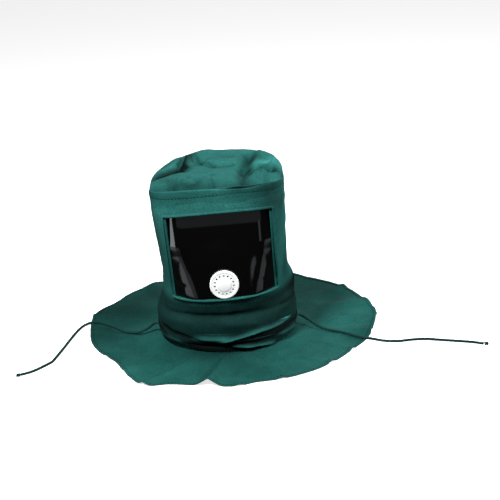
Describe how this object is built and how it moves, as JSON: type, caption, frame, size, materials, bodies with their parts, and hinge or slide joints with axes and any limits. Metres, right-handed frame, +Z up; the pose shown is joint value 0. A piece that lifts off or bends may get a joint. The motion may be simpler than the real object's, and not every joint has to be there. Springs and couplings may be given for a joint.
{
  "type": "sandblasting hood",
  "caption": "Green cloth sandblasting hood with a dark window, a round breathing valve, a drawstring casing at the neck and a wide cape that it stands on.",
  "frame": {"origin": "centre of the bottom of the hood's box, measured without the free cord ends, on the surface that the cape lies on", "axes": "+Z up through the crown, -Y towards the window and valve, +X to the right as seen from the front"},
  "size_m": [0.8525, 0.539, 0.3274],
  "materials": {
    "hood_cloth": "dark green woven cotton, matt",
    "cape_cloth": "dark green woven cotton, matt",
    "binding_cloth": "dark green woven cotton, folded and sewn",
    "window_film": "thin clear film over a dark inside, glossy and slightly scuffed",
    "valve_plastic": "white moulded plastic, satin",
    "cord_braid": "dark green twisted cord"
  },
  "bodies": {
    "root": {"crown": "hood_cloth", "hood_body": "hood_cloth", "brow_hem": "hood_cloth", "window_binding": "binding_cloth", "window_facing": "binding_cloth", "window_sheet": "window_film", "valve_cover": "valve_plastic", "valve_back_ring": "valve_plastic", "casing_front": "hood_cloth", "casing_back": "hood_cloth", "drawstring_hidden": "cord_braid", "cord_left": "cord_braid", "cord_right": "cord_braid", "knot_left": "cord_braid", "knot_right": "cord_braid", "cape": "cape_cloth"}
  },
  "joints": []
}
